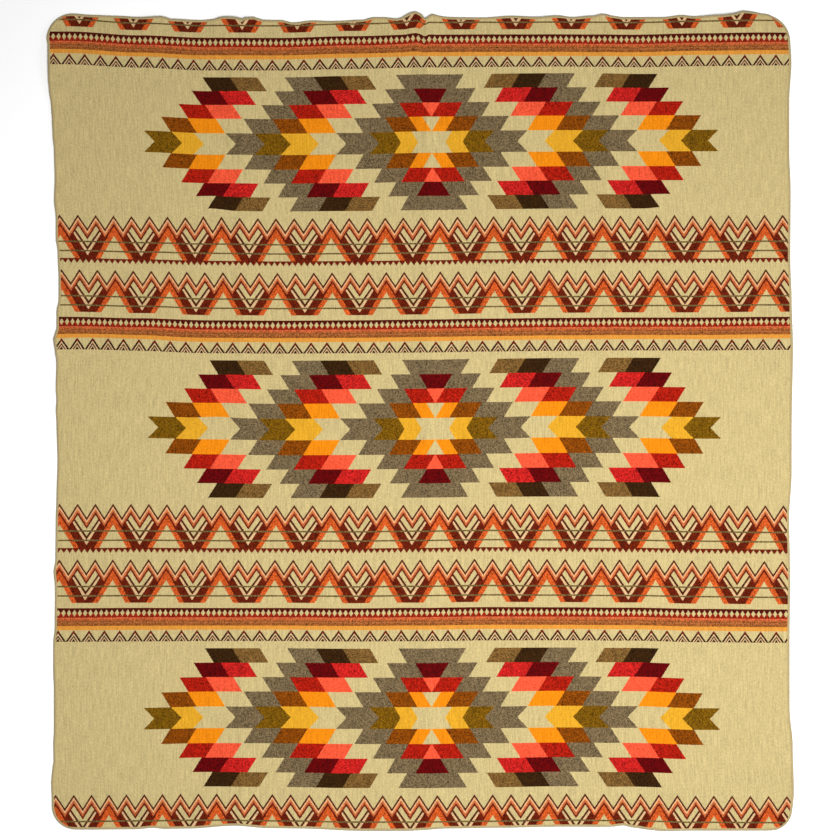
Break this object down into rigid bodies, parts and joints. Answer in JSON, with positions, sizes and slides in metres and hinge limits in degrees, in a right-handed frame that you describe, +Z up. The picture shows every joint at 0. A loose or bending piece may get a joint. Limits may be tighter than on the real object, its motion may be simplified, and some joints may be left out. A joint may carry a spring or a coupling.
{
  "type": "alpaca wool blanket",
  "caption": "Woven wool bed blanket laid out flat, face up: a thin panel with rounded corners, slightly wavy edges and soft storage folds.",
  "frame": {"origin": "at the surface that the blanket lies on, under the middle of its box", "axes": "+X across the blanket, +Y along its length towards the end shown at the top of the picture, +Z up out of its face"},
  "size_m": [2.0966, 2.3067, 0.0118],
  "materials": {
    "wool": "Brushed alpaca wool jacquard in an undyed sand ground with rows of stepped diamonds, zigzags and narrow stripes in grey, brown, red, orange and yellow; soft, matt and slightly hairy, with an overcast edge."
  },
  "bodies": {
    "root": {"blanket": "wool"}
  },
  "joints": []
}
